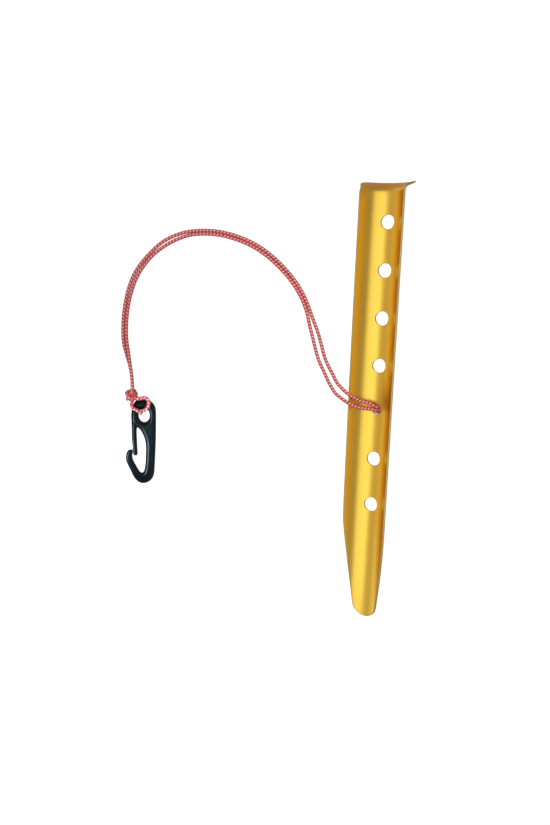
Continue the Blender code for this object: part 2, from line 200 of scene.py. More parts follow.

# Listed points of the cord's centre line. They follow the solids' own, with the ends led into the knots.
OUTER_ROUTE = [
    (0.0046, -0.0024, 0.003), (0.0036, -0.0018, 0.0037), (0.0028, -0.0014, 0.0047),
    (0.0019, -0.0011, 0.006), (0.0007, -0.0007, 0.00695), (-0.0018, 0.0006, 0.00745),
    (-0.0077, 0.0021, 0.00755), (-0.012, 0.0041, 0.0081), (-0.0146, 0.0057, 0.00825),
    (-0.0175, 0.0082, 0.00755), (-0.0203, 0.0111, 0.0064), (-0.0228, 0.0154, 0.0049),
    (-0.0256, 0.0202, 0.0035), (-0.0279, 0.0252, 0.0023), (-0.0298, 0.0312, 0.0014),
    (-0.0318, 0.0373, 0.001), (-0.0342, 0.0432, 0.001), (-0.0375, 0.0517, 0.001), (-0.0418, 0.0599, 0.001),
    (-0.0485, 0.0689, 0.001), (-0.058, 0.0779, 0.001), (-0.0671, 0.084, 0.001), (-0.0774, 0.0883, 0.001),
    (-0.0882, 0.0907, 0.001), (-0.0992, 0.0909, 0.001), (-0.1085, 0.0894, 0.001), (-0.119, 0.0843, 0.001),
    (-0.1273, 0.0767, 0.001), (-0.1342, 0.067, 0.001), (-0.1381, 0.0564, 0.001), (-0.1399, 0.0449, 0.001),
    (-0.1401, 0.0356, 0.001), (-0.1395, 0.0276, 0.001), (-0.1377, 0.0213, 0.001), (-0.1357, 0.0155, 0.001),
    (-0.1343, 0.009, 0.0011), (-0.1338, 0.0047, 0.0015), (-0.1336, 0.0024, 0.002),
    (-0.1337, 0.0004, 0.0027),
]
INNER_ROUTE = [
    (0.0047, -0.0037, 0.003), (0.0036, -0.0035, 0.0037), (0.0027, -0.0032, 0.0047),
    (0.0018, -0.003, 0.0059), (0.0006, -0.0028, 0.0069), (-0.0017, -0.0024, 0.00745),
    (-0.0075, -0.0019, 0.00755), (-0.0118, -0.0006, 0.00805), (-0.0149, 0.0011, 0.00815),
    (-0.0182, 0.0032, 0.00745), (-0.0212, 0.0056, 0.00625), (-0.0248, 0.011, 0.0046),
    (-0.0282, 0.0176, 0.0029), (-0.0308, 0.0226, 0.002), (-0.0328, 0.0282, 0.0013), (-0.0351, 0.036, 0.001),
    (-0.0373, 0.0431, 0.001), (-0.0398, 0.0509, 0.001), (-0.0436, 0.0589, 0.001), (-0.05, 0.0674, 0.001),
    (-0.0592, 0.0761, 0.001), (-0.0681, 0.0821, 0.001), (-0.078, 0.0862, 0.001), (-0.0885, 0.0886, 0.001),
    (-0.0986, 0.0888, 0.001), (-0.1075, 0.0869, 0.001), (-0.117, 0.0822, 0.001), (-0.1253, 0.0752, 0.001),
    (-0.1321, 0.0654, 0.001), (-0.1358, 0.055, 0.001), (-0.1376, 0.0442, 0.001), (-0.138, 0.0358, 0.0011),
    (-0.1374, 0.028, 0.0016), (-0.1362, 0.022, 0.0025), (-0.1351, 0.0157, 0.0031), (-0.134, 0.0092, 0.0032),
    (-0.1335, 0.0049, 0.0037), (-0.1333, 0.0026, 0.0042), (-0.1335, 0.0006, 0.0044),
]
LOOP_ROUTE = [
    (-0.13277, -0.00143, 0.0042), (-0.13177, -0.00203, 0.005), (-0.1308, -0.00238, 0.0059),
    (-0.12987, -0.00263, 0.0072), (-0.12867, -0.00253, 0.0078), (-0.12717, -0.00213, 0.008),
    (-0.12567, -0.00192, 0.008), (-0.12427, -0.00262, 0.008), (-0.12352, -0.00412, 0.008),
    (-0.12356, -0.00592, 0.0079), (-0.12426, -0.00752, 0.0078), (-0.1254, -0.00865, 0.0074),
    (-0.1264, -0.00915, 0.0065), (-0.12705, -0.0093, 0.0048), (-0.1273, -0.00915, 0.003),
    (-0.12755, -0.00872, 0.00165), (-0.12806, -0.00783, 0.0011), (-0.12897, -0.00663, 0.00105),
    (-0.12987, -0.00543, 0.00105), (-0.13057, -0.00434, 0.00115), (-0.13112, -0.00345, 0.00145),
    (-0.13207, -0.00224, 0.0022),
]
LOOSE_END_ROUTE = [
    (-0.13307, -0.00164, 0.0042), (-0.13277, -0.00294, 0.005), (-0.13272, -0.004, 0.00606),
    (-0.13307, -0.00524, 0.0072), (-0.13297, -0.00664, 0.0078), (-0.13236, -0.00769, 0.0079),
    (-0.13106, -0.00849, 0.0079), (-0.12956, -0.00923, 0.0079), (-0.12816, -0.01013, 0.0078),
    (-0.12722, -0.01088, 0.0077),
]

# Strands that lie side by side settle against each other: over which space between them, how many points
# from their ends, and over how many points the move is evened out.
SETTLE_SPACE = 0.00056
SETTLE_ENDS = 300
SETTLE_WINDOW = 61

# The two tied knots: the centre and radii of a ball about as large as the solid. With the first goes the
# turn that shows in the cord hole.
STOPPER_BALL = ((0.00545, -0.00260, 0.00308), (0.0030, 0.00345, 0.0030))
UNDER_HOLE = (0.0029, -0.0023, 0.0031)
UNDER_HOLE_RADIUS = 0.0017
HOOK_KNOT_BALL = ((-0.13378, -0.00144, 0.00348), (0.0037, 0.0037, 0.0034))

# How a knot's line runs: its turns round the axis, its swings from pole to pole and where it starts, its
# unevenness round the axis, how far it swings and how deep it lies. A coil of flat turns fills its inside.
STOPPER_WINDING = (2, 3, 0.4)
HOOK_KNOT_WINDING = (3, 4, 1.1)
KNOT_SWAY = 0.25
KNOT_SWING = 1.12
KNOT_UNEVEN_SWING = 0.14
KNOT_DEPTH = 0.92
KNOT_DIP = 0.15
KNOT_UNEVEN_DEPTH = 0.05
KNOT_SINK = 0.42 * CORD_DIAMETER
KNOT_SWING_PHASE = 1.0
KNOT_DIP_PHASE = 0.6
KNOT_POINTS = 900
COIL_SHARE = 0.55
COIL_RISE = 0.9
COIL_PHASE = 0.4
COIL_POINTS = 200

# The melted end: its radius, half length and set-back from the cord's last point, its lumps and its mesh.
BEAD_RADIUS = 0.53 * CORD_DIAMETER
BEAD_HALF_LENGTH = 0.34 * CORD_DIAMETER
BEAD_SET_BACK = 0.0003
BEAD_LUMPS = 3
BEAD_LUMP_HEIGHT = 0.06
BEAD_ROWS = 15
BEAD_SIDES = 24

# Listed points of the hook's outlines, in its own plane: X across it and Y towards its eye.
BODY_OUTSIDE = [
    (-0.00606, -0.00184), (-0.0064, -0.00165), (-0.00663, -0.0012), (-0.00668, -0.0002), (-0.00675, 0.004),
    (-0.00645, 0.0074), (-0.0058, 0.0098), (-0.0046, 0.0117), (-0.00312, 0.01275), (-0.00127, 0.01335),
    (0.00097, 0.01338), (0.003, 0.01265), (0.00493, 0.0115), (0.00621, 0.00988), (0.0069, 0.00787),
    (0.00707, 0.005), (0.00696, -0.0025), (0.00672, -0.01), (0.0062, -0.02), (0.00571, -0.027),
    (0.00524, -0.03), (0.00398, -0.03221), (0.00216, -0.03369), (-0.00009, -0.03441), (-0.00258, -0.03411),
    (-0.00489, -0.03228), (-0.00649, -0.02973), (-0.00808, -0.02615), (-0.00959, -0.02292),
    (-0.0102, -0.02069), (-0.01014, -0.01869), (-0.00972, -0.01685), (-0.00871, -0.01554),
    (-0.0077, -0.01526), (-0.0069, -0.01536), (-0.00645, -0.0157), (-0.00633, -0.0165),
]
BODY_INSIDE = [
    (-0.00658, -0.0184), (-0.00653, -0.01968), (-0.0062, -0.0212), (-0.00464, -0.02432),
    (-0.00275, -0.0276), (-0.0018, -0.0284), (-0.00095, -0.02835), (-0.0002, -0.02755), (0.00047, -0.02482),
    (0.00086, -0.02092), (0.00108, -0.01649), (0.0011, -0.01254), (0.00068, -0.00973), (-0.00021, -0.00698),
    (-0.0013, -0.0047), (-0.0025, -0.00315),
]
GATE_OUTSIDE = [
    (-0.00668, -0.0075), (-0.00654, -0.0105), (-0.00632, -0.0132), (-0.00618, -0.0152), (-0.00614, -0.0168),
    (-0.00602, -0.01765), (-0.00562, -0.0182), (-0.00495, -0.01852), (-0.00425, -0.0186),
    (-0.00376, -0.01828), (-0.00356, -0.01755), (-0.00364, -0.0159), (-0.0038, -0.01),
]
GATE_TOP = [
    (-0.00388, -0.0048), (-0.00366, -0.0025), (-0.00376, -0.0006), (-0.0044, 0.0006), (-0.0053, 0.0009),
    (-0.0062, 0.0004), (-0.00664, -0.0011), (-0.0067, -0.0038),
]


# Curves.

def smooth_points(route, steps, closed=False):
    """Points of a smooth curve through the route: each cubic leaves a point along its neighbours' chord."""
    knots = np.array(route, dtype=float)
    if closed:
        padded = np.vstack([knots[-1:], knots, knots[:2]])
    else:
        padded = np.vstack([2 * knots[0] - knots[1], knots, 2 * knots[-1] - knots[-2]])
    before, start, end, after = padded[:-3], padded[1:-2], padded[2:-1], padded[3:]
    span = np.linalg.norm(end - start, axis=1, keepdims=True)
    leave = (end - before) / np.maximum(np.linalg.norm(end - before, axis=1, keepdims=True), span) * span
    arrive = (after - start) / np.maximum(np.linalg.norm(after - start, axis=1, keepdims=True), span) * span
    t = (np.arange(steps) / steps)[None, :, None]
    start, end, leave, arrive = (part[:, None, :] for part in (start, end, leave, arrive))
    points = (
        start * (1 + 2 * t) * (1 - t) ** 2
        + leave * t * (1 - t) ** 2
        + end * t**2 * (3 - 2 * t)
        - arrive * t**2 * (1 - t)
    ).reshape(-1, knots.shape[1])
    if closed:
        return points
    return np.vstack([points, knots[-1:]])


def along_lengths(points):
    """The distance run along a line of points, at each point."""
    runs = np.linalg.norm(np.diff(points, axis=0), axis=1)
    return np.concatenate([[0.0], np.cumsum(runs)])


def evenly_spaced(points, step):
    """The same line with points at equal distances of about one step."""
    runs = along_lengths(points)
    count = max(int(round(runs[-1] / step)), 2) + 1
    places = np.linspace(0.0, runs[-1], count)
    return np.stack([np.interp(places, runs, points[:, axis]) for axis in range(points.shape[1])], axis=1)


def unit(vectors):
    """The same directions with a length of one."""
    return vectors / np.linalg.norm(vectors, axis=-1, keepdims=True)


def turned(first, second, angle):
    """Two coordinates after a turn by an angle in their plane."""
    cosine, sine = math.cos(angle), math.sin(angle)
    return first * cosine - second * sine, first * sine + second * cosine


def evened(values, width, edges):
    """Values along a line, each one a soft average over a width in points. The ends are padded first."""
    window = np.hanning(width)
    padded = np.pad(values, width // 2, mode=edges)
    return np.convolve(padded, window / window.sum(), mode="valid")


def frames_along(points):
    """The direction of a line at each point, with a side and an upper direction that don't twist round it."""
    ahead = unit(np.gradient(points, axis=0))
    sides = np.empty_like(ahead)
    first = np.cross(ahead[0], (0.0, 0.0, 1.0))
    if np.linalg.norm(first) < 0.1:
        first = np.cross(ahead[0], (1.0, 0.0, 0.0))
    sides[0] = unit(first)
    for ring in range(1, len(points)):
        carried = sides[ring - 1] - ahead[ring] * np.dot(sides[ring - 1], ahead[ring])
        sides[ring] = unit(carried)
    return ahead, sides, np.cross(sides, ahead)


# Meshes.

def grid_faces(rows, columns, first=0, wrap=False):
    """The corners of each cell of a grid of points. A wrapped grid joins its last column to its first."""
    row, column = np.meshgrid(np.arange(rows - 1), np.arange(columns if wrap else columns - 1), indexing="ij")
    after = (column + 1) % columns
    here, next_row = row * columns, (row + 1) * columns
    corners = (here + column, here + after, next_row + after, next_row + column)
    return first + np.stack([corner.ravel() for corner in corners], axis=1)


def make_piece(name, points, faces, material):
    """One object at the origin with smooth faces, in one material."""
    mesh = bpy.data.meshes.new(name)
    mesh.from_pydata(points.tolist(), [], [list(face) for face in faces])
    made = bpy.data.objects.new(name, mesh)
    bpy.context.scene.collection.objects.link(made)
    mesh.materials.append(material)
    mesh.shade_smooth()
    return made


def tidy_mesh(made, merge=0.000002):
    """Joins points that coincide, turns every face outwards and keeps the faces smooth."""
    work = bmesh.new()
    work.from_mesh(made.data)
    bmesh.ops.remove_doubles(work, verts=work.verts, dist=merge)
    bmesh.ops.recalc_face_normals(work, faces=work.faces)
    work.to_mesh(made.data)
    work.free()
    made.data.shade_smooth()


def write_attribute(made, name, values):
    """Stores one value for each point, under a name that a material reads."""
    layer = made.data.attributes.new(name, "FLOAT", "POINT")
    layer.data.foreach_set("value", np.asarray(values, dtype=np.float32))


def dress(made, slot, body, *nodes):
    """The piece rides on its body and stands for the named nodes. The slot is not used."""
    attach(made, body)
    if nodes:
        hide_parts(*nodes)
    return made


# Blade.

def half_spread(from_tip):
    """Half the angle of the blade's arc: a softened straight taper that closes at the tip like an ellipse,
    below a full width that grows gently from the shoulder to the lip."""
    left_to_grow = 1 - np.clip((from_tip - TAPER_LENGTH) / (BEND_START - TAPER_LENGTH), 0.0, 1.0)
    full = LIP_SPREAD - (LIP_SPREAD - SHOULDER_SPREAD) * left_to_grow**2
    rise = (SHOULDER_SPREAD - TIP_SPREAD) / (TAPER_LENGTH - TIP_ROUND)
    taper = TIP_SPREAD + rise * (from_tip - TIP_ROUND)
    spread = (taper + full) / 2 - np.hypot((taper - full) / 2, SHOULDER_SOFTNESS)
    closing = np.sqrt(1 - np.clip(1 - from_tip / TIP_ROUND, 0.0, 1.0) ** 2)
    return np.maximum(spread * closing, TIP_FLAT)


def lip_place(along_sheet):
    """How far the lip has gone forward and outward, and its tilt, at a distance from the bend's start. The
    sheet follows a circle of the bend's radius through the lip's angle and then runs on straight."""
    tilt = np.clip(along_sheet / LIP_BEND_RADIUS, 0.0, LIP_ANGLE)
    straight = np.maximum(along_sheet - LIP_BEND_RADIUS * LIP_ANGLE, 0.0)
    forward = LIP_BEND_RADIUS * np.sin(tilt) + straight * np.cos(tilt) + np.minimum(along_sheet, 0.0)
    outward = LIP_BEND_RADIUS * (1 - np.cos(tilt)) + straight * np.sin(tilt)
    return forward, outward, tilt


LIP_LENGTH = LIP_BEND_RADIUS * LIP_ANGLE + LIP_STRAIGHT
BEND_START = BLADE_LENGTH - float(lip_place(np.array(LIP_LENGTH))[0]) - SHEET / 2 * math.sin(LIP_ANGLE)


def sheet_points(along, angle, height):
    """A point of the rolled sheet, from its distance along the sheet, its angle round the arc and its height
    above the sheet's middle, outwards from the arc's axis. The blade then leans on the floor."""
    angle = angle + LIP_SKEW * lip_share(along)
    forward, outward, tilt = lip_place(along - BEND_START)
    rho = MID_RADIUS + outward + height * np.cos(tilt)
    x = rho * np.sin(angle + ROLL)
    y = BEND_START + forward - height * np.sin(tilt)
    z = -rho * np.cos(angle + ROLL)
    lean_y, lean_z = turned(y, z, BLADE_LEAN)
    return np.stack([x, lean_y, lean_z], axis=-1) + np.array(BLADE_PLACE)


def hole_places():
    """The distance of each hole's centre from the tip. Holes are counted from the lip."""
    return FIRST_HOLE_FROM_TIP - HOLE_PITCH * np.arange(HOLE_COUNT)


def sheet_rows():
    """The rows of the sheet's grid from tip to lip: distance along the sheet and half spread. Rows lie on the
    borders and the cells of the tile round each hole, and the lip's corners are quarter ellipses."""
    cap = TIP_ROUND * (1 - np.cos(np.linspace(0, math.pi / 2, CAP_ROWS, endpoint=False)))
    borders = np.sort(np.concatenate([hole_places() - TILE_HALF, hole_places() + TILE_HALF]))
    rows = [cap, np.linspace(TIP_ROUND, borders[0], TAPER_ROWS, endpoint=False)]
    for number, (low, high) in enumerate(zip(borders[:-1], borders[1:])):
        cells = TILE_CELLS if number % 2 == 0 else BETWEEN_ROWS
        rows.append(np.linspace(low, high, cells, endpoint=False))
    rows.append(np.linspace(borders[-1], BEND_START, BETWEEN_ROWS, endpoint=False))
    along = np.concatenate(rows)
    along = along[along < BEND_START + LIP_LENGTH - LIP_CORNER_RUN - ROW_GAP]
    swing = np.linspace(0, math.pi / 2, CORNER_ROWS)
    corner = BEND_START + LIP_LENGTH - LIP_CORNER_RUN * (1 - np.sin(swing))
    radius = MID_RADIUS + lip_place(corner - BEND_START)[1]
    corner_spread = LIP_SPREAD - LIP_CORNER_CUT * (1 - np.cos(swing)) / radius
    return np.concatenate([along, corner]), np.concatenate([half_spread(along), corner_spread])


def sheet_columns(spread):
    """The angle of each grid point: fixed columns over the holes, and wings that stretch to the edge."""
    tile = TILE_HALF / MID_RADIUS
    shrink = np.clip(spread / TIP_SPREAD, 0.0, 1.0)[:, None]
    middle = np.linspace(-tile, tile, TILE_CELLS + 1)[None, :] * shrink
    share = np.linspace(0, 1, WING_CELLS + 1)[None, 1:]
    right = middle[:, -1:] + (spread[:, None] - middle[:, -1:]) * share
    return np.hstack([-right[:, ::-1], middle, right])


def border_of(along, angle):
    """The grid's border points in order, as an index, with the direction from each into the unrolled sheet,
    square to the outline, and the sheet's radius there."""
    rows, columns = angle.shape
    rim = [(0, column) for column in range(columns)]
    rim += [(row, columns - 1) for row in range(1, rows)]
    rim += [(rows - 1, column) for column in range(columns - 2, -1, -1)]
    rim += [(row, 0) for row in range(rows - 2, 0, -1)]
    rim = tuple(np.array(rim).T)
    radius = (MID_RADIUS + lip_place(along - BEND_START)[1])[rim[0]]
    flat = np.stack([angle[rim] * radius, along[rim[0]]], axis=1)
    ahead = unit(unit(np.roll(flat, -1, axis=0) - flat) + unit(flat - np.roll(flat, 1, axis=0)))
    inward = np.stack([-ahead[:, 1], ahead[:, 0]], axis=1)
    return rim, inward, radius


def edge_profile():
    """The soft edge from the inner face to the outer one: distance in from the cut edge, and height."""
    turn = np.linspace(0, math.pi / 2, EDGE_STEPS + 1)
    inset = EDGE_SOFTNESS * (1 - np.sin(turn))
    height = -SHEET / 2 + EDGE_SOFTNESS * (1 - np.cos(turn))
    return np.concatenate([inset, inset[::-1]]), np.concatenate([height, -height[::-1]])


def edge_share(inset):
    """How much a point belongs to the cut edge: all of it on the edge's wall, none where the face begins."""
    return np.clip(1.0 - inset / EDGE_SOFTNESS, 0.0, 1.0) ** 0.5


def lip_share(along):
    """How far the sheet has bent into the lip, from 0 on the straight blade to 1 on the flare."""
    share = np.clip((along - BEND_START + LIP_BLUR) / (LIP_BEND_RADIUS * LIP_ANGLE + LIP_BLUR), 0.0, 1.0)
    return share**2 * (3 - 2 * share)


def blade_faces_and_edge():
    """Both faces of the sheet without the tiles round its holes, and the soft strip round its cut edge."""
    along, spread = sheet_rows()
    grid_angle = sheet_columns(spread)
    rows, columns = grid_angle.shape
    rim, inward, rim_radius = border_of(along, grid_angle)
    grid_along = np.repeat(along[:, None], columns, axis=1)
    rim_along = grid_along[rim]
    rim_angle = grid_angle[rim]
    grid_along[rim] += inward[:, 1] * EDGE_SOFTNESS
    grid_angle[rim] += inward[:, 0] * EDGE_SOFTNESS / rim_radius
    faces = grid_faces(rows, columns)
    cell_along = (along[:-1] + along[1:]) / 2
    near_hole = (np.abs(cell_along[:, None] - hole_places()[None, :]) < TILE_HALF).any(axis=1)
    over_holes = np.zeros(columns - 1, dtype=bool)
    over_holes[WING_CELLS:WING_CELLS + TILE_CELLS] = True
    kept = ~(near_hole[:, None] & over_holes[None, :]).ravel()
    points, all_faces, cut, bend_shade, count = [], [], [], [], 0
    for height in (-SHEET / 2, SHEET / 2):
        points.append(sheet_points(grid_along, grid_angle, height).reshape(-1, 3))
        all_faces.append(count + faces[kept])
        cut.append(np.zeros(rows * columns))
        bend_shade.append(lip_share(grid_along).ravel())
        count += rows * columns
    inset, height = edge_profile()
    strip_along = rim_along[None, :] + inward[None, :, 1] * inset[:, None]
    strip_angle = rim_angle[None, :] + inward[None, :, 0] * inset[:, None] / rim_radius[None, :]
    points.append(sheet_points(strip_along, strip_angle, height[:, None]).reshape(-1, 3))
    all_faces.append(grid_faces(len(inset), len(rim_along), count, wrap=True))
    cut.append(np.repeat(edge_share(inset), len(rim_along)))
    bend_shade.append(lip_share(strip_along).ravel())
    return np.vstack(points), np.vstack(all_faces), np.concatenate(cut), np.concatenate(bend_shade)


def hole_tile(number):
    """One punched hole in its square tile, as rings from the inner face's square over the hole's soft edges
    and wall to the outer face's square. The hole is a straight round punch, square to the sheet."""
    radius, shift = (CORD_HOLE_RADIUS, CORD_HOLE_SHIFT) if number == CORD_HOLE else (HOLE_RADIUS, 0.0)
    centre = hole_places()[number - 1]
    steps = np.linspace(-1, 1, TILE_CELLS + 1)[:-1]
    ones = np.ones(TILE_CELLS)
    square_x = np.concatenate([steps, ones, -steps, -ones])
    square_y = np.concatenate([-ones, steps, ones, -steps])
    turn = np.arctan2(square_y, square_x)
    square_x = square_x * TILE_HALF / MID_RADIUS
    square_y = square_y * TILE_HALF
    inset, height = edge_profile()
    face_share = np.linspace(1, 0, TILE_RINGS + 1)[:-1]
    share = np.concatenate([face_share, np.zeros(len(inset)), face_share[::-1]])
    lifted = np.pad(height, TILE_RINGS, mode="edge")
    ring = (radius + np.pad(inset, TILE_RINGS, mode="edge"))[:, None]
    round_angle = np.arcsin(ring * np.cos(turn)[None, :] / (MID_RADIUS + lifted)[:, None])
    round_y = ring * np.sin(turn)[None, :] + shift
    share = share[:, None]
    angle = round_angle * (1 - share) + square_x[None, :] * share
    along = centre + round_y * (1 - share) + square_y[None, :] * share
    cut = np.repeat(np.pad(edge_share(inset), TILE_RINGS), len(turn))
    return sheet_points(along, angle, lifted[:, None]).reshape(-1, 3), len(lifted), len(turn), cut


def make_blade(material):
    """The rolled sheet with its soft edges, and a tile for each hole."""
    points, faces, cut, bend_shade = blade_faces_and_edge()
    all_points, all_faces, all_cut, all_bend_shade, count = [points], [faces], [cut], [bend_shade], len(points)
    for number in range(1, HOLE_COUNT + 1):
        tile, rings, sides, cut = hole_tile(number)
        all_points.append(tile)
        all_faces.append(grid_faces(rings, sides, count, wrap=True))
        all_cut.append(cut)
        all_bend_shade.append(np.zeros(len(tile)))
        count += len(tile)
    blade = make_piece("rolled_blade", np.vstack(all_points), np.vstack(all_faces), material)
    # The cut edge, stored for the gold's darker painted shade along it.
    write_attribute(blade, "cut_edge_shade", np.concatenate(all_cut))
    # The bend into the lip, stored for the gold's duller roughness and its browner painted shade.
    write_attribute(blade, "bent_lip_shade", np.concatenate(all_bend_shade))
    tidy_mesh(blade)
    return dress(blade, "gold_anodised", "peg", "peg_blade")


# Cord.

def braid_height(turn, along):
    """The braid's relief, from 0 in a gap to 1 on a carrier's crown.

    Two families of carriers wind round the cord in opposite ways. Each carrier passes over two of the other
    family and then under two. The one on top is round across its width, and it rises and sinks lengthwise.
    """
    one_way = CARRIERS * turn + along / BRAID_CELL
    other_way = CARRIERS * turn - along / BRAID_CELL
    step = np.mod(np.floor(one_way) + np.floor(other_way), 4.0)
    other_on_top = step < 2
    across = np.where(other_on_top, np.mod(other_way, 1.0), np.mod(one_way, 1.0))
    run = np.mod(step, 2.0) + np.where(other_on_top, np.mod(one_way, 1.0), np.mod(other_way, 1.0))
    return np.sin(math.pi * across) ** ROUNDING_ACROSS * np.sin(math.pi * run / 2) ** ROUNDING_ALONG


def cord_grid(points):
    """Rings of points round a line, each point raised by the braid, with the turn and length of each point.
    Both ends close like half balls."""
    ahead, side, upper = frames_along(points)
    runs = along_lengths(points)
    turn = np.arange(CORD_SIDES) / CORD_SIDES
    around = side[:, None, :] * np.cos(2 * math.pi * turn)[None, :, None]
    around = around + upper[:, None, :] * np.sin(2 * math.pi * turn)[None, :, None]
    height = braid_height(turn[None, :], runs[:, None])
    radius = CORD_DIAMETER / 2 + BRAID_RELIEF * (height - BRAID_MIDDLE)
    from_end = np.minimum(runs, runs[-1] - runs)
    radius = radius * np.sqrt(1 - (1 - np.clip(from_end / (CORD_DIAMETER / 2), 0.0, 1.0)) ** 2)[:, None]
    grid = points[:, None, :] + around * radius[:, :, None]
    return grid, np.broadcast_to(turn[None, :], height.shape), np.broadcast_to(runs[:, None], height.shape)


def make_cord_piece(name, lines, material):
    """One mesh of one or more braided lines, with a UV map that holds the braid's turn and length."""
    points, faces, corner_turn, corner_run, count = [], [], [], [], 0
    for line in lines:
        grid, turn, runs = cord_grid(line)
        rows, sides = grid.shape[:2]
        points.append(grid.reshape(-1, 3))
        cells = grid_faces(rows, sides, wrap=True)
        faces.append(count + cells)
        column = cells[:, :1] % sides
        before, after = column / sides, (column + 1) / sides
        corner_turn.append(np.hstack([before, after, after, before]))
        corner_run.append(runs.ravel()[cells])
        count += rows * sides
    made = make_piece(name, np.vstack(points), np.vstack(faces), material)
    layer = made.data.uv_layers.new(name="braid")
    values = np.stack([np.vstack(corner_turn).ravel(), np.vstack(corner_run).ravel() / BRAID_CELL], axis=1)
    layer.data.foreach_set("uv", values.ravel().astype(np.float32))
    return made


def route_line(route):
    """A cord's centre line: the route's smooth curve with the rings' even spacing."""
    return evenly_spaced(smooth_points(route, CURVE_STEPS), RING_STEP)


def settled_together(first, second):
    """Two strands that lie nearly side by side, each moved sideways until they touch. Where the free space
    to the other strand is small, a point moves by half of it, and the move fades out as the space grows."""
    moved = []
    for line, other in ((first, second), (second, first)):
        offset = other[None, :, :] - line[:, None, :]
        distance = np.linalg.norm(offset, axis=2)
        nearest = np.argmin(distance, axis=1)
        rows = np.arange(len(line))
        space = distance[rows, nearest] - CORD_DIAMETER
        fade = np.clip(1 - (space - SETTLE_SPACE) / SETTLE_SPACE, 0.0, 1.0)
        ends = np.clip(np.minimum(rows, len(line) - 1 - rows) / SETTLE_ENDS, 0.0, 1.0)
        push = np.clip(space, 0.0, None) * fade * ends / 2
        push = evened(push, SETTLE_WINDOW, "edge")
        moved.append(line + unit(offset[rows, nearest]) * push[:, None])
    return moved


def tied_line(centre, radii, wraps, bights, phase):
    """The centre line of a tied knot: a closed winding on a ball. It runs round the ball's axis while it
    swings from pole to pole, and it dips in and out so that it passes over and under itself."""
    t = np.linspace(0, 2 * math.pi, KNOT_POINTS)
    longitude = wraps * t + phase + KNOT_SWAY * np.sin(t + phase)
    latitude = KNOT_SWING * np.sin(bights * t) + KNOT_UNEVEN_SWING * np.sin(2 * t + KNOT_SWING_PHASE)
    depth = KNOT_DEPTH + KNOT_DIP * np.cos(wraps * bights * t + KNOT_DIP_PHASE)
    depth = depth + KNOT_UNEVEN_DEPTH * np.sin(3 * t + phase)
    level = np.cos(latitude)
    direction = np.stack([level * np.cos(longitude), level * np.sin(longitude), np.sin(latitude)], axis=1)
    return np.array(centre) + direction * (np.array(radii) - KNOT_SINK)[None, :] * depth[:, None]


def inner_turns(centre, radii):
    """The turns inside a knot, as one flat coil that fills the space under the outer ones."""
    t = np.linspace(0, 4 * math.pi, COIL_POINTS)
    reach = (np.array(radii) - CORD_DIAMETER)[None, :] * COIL_SHARE
    coil = np.stack([np.cos(t), np.sin(t), COIL_RISE * np.sin(t / 2 + COIL_PHASE)], axis=1)
    return np.array(centre) + coil * reach


def bight_under_hole():
    """The knot's own turn that lies right under the cord hole: a small ring level with the floor."""
    t = np.linspace(0, 2 * math.pi, 120)
    ring = np.stack([np.cos(t), np.sin(t), np.zeros_like(t)], axis=1) * UNDER_HOLE_RADIUS
    return np.array(UNDER_HOLE) + ring


def make_knot(name, ball, winding, material, node, more=()):
    """A tied knot on a ball: its outer turns, its inner ones and any more lines."""
    lines = (tied_line(*ball, *winding), inner_turns(*ball), *more)
    knot = make_cord_piece(name, [evenly_spaced(line, RING_STEP) for line in lines], material)
    return dress(knot, "red_cord", "peg", node)


def make_cords(material, tip_material):
    """The doubled cord, its two knots, the loop through the hook's eye and the short loose end."""
    more = [bight_under_hole()]
    stopper = make_knot("tied_stopper_knot", STOPPER_BALL, STOPPER_WINDING, material, "stopper_knot", more)
    knot = make_knot("tied_hook_knot", HOOK_KNOT_BALL, HOOK_KNOT_WINDING, material, "hook_knot")
    loop_line = route_line(LOOP_ROUTE)
    loop = dress(make_cord_piece("eye_loop", [loop_line], material), "red_cord", "peg", "hook_loop")
    end_line = route_line(LOOSE_END_ROUTE)
    end = dress(make_cord_piece("short_end", [end_line], material), "red_cord", "peg", "loose_end")
    tip = make_melted_tip(end_line, tip_material)
    strands = []
    lines = settled_together(route_line(OUTER_ROUTE), route_line(INNER_ROUTE))
    for name, line, node in zip(("outer_braid", "inner_braid"), lines, ("outer_strand", "inner_strand")):
        strand = dress(make_cord_piece(name, [line], material), "red_cord", "peg", node)
        strands.append((strand, line))
    return strands, [stopper, knot, loop, end, tip]


def make_melted_tip(line, material):
    """The end of the cord melted to a small dark bead: a lumpy ball, flattened along the cord."""
    ahead, side, upper = frames_along(line)
    polar = np.linspace(0, math.pi, BEAD_ROWS)[:, None, None]
    turn = np.linspace(0, 2 * math.pi, BEAD_SIDES, endpoint=False)[None, :, None]
    radius = BEAD_RADIUS * (1 + BEAD_LUMP_HEIGHT * np.sin(BEAD_LUMPS * turn) * np.sin(polar) ** 2)
    middle = line[-1] + ahead[-1] * (np.cos(polar) * BEAD_HALF_LENGTH - BEAD_SET_BACK)
    bead = middle + (side[-1] * np.cos(turn) + upper[-1] * np.sin(turn)) * radius * np.sin(polar)
    faces = grid_faces(bead.shape[0], bead.shape[1], wrap=True)
    made = make_piece("melted_tip", bead.reshape(-1, 3), faces, material)
    tidy_mesh(made)
    return dress(made, "red_cord", "peg")


# Hook.

def hook_to_world(points):
    """From the hook's own plane to where it lies: tilted about X, then turned about Z."""
    x, y, z = points[..., 0], points[..., 1], points[..., 2]
    tilt_y, tilt_z = turned(y, z, HOOK_TILT)
    turn_x, turn_y = turned(x, tilt_y, HOOK_TURN)
    return np.stack([turn_x, turn_y, tilt_z], axis=-1) + np.array(HOOK_PLACE)


def closed_outline(corners):
    """A smooth closed outline through the points, at even steps, without its last point repeated."""
    curve = smooth_points(corners, OUTLINE_CURVE_STEPS, closed=True)
    return evenly_spaced(np.vstack([curve, curve[:1]]), OUTLINE_STEP)[:-1]


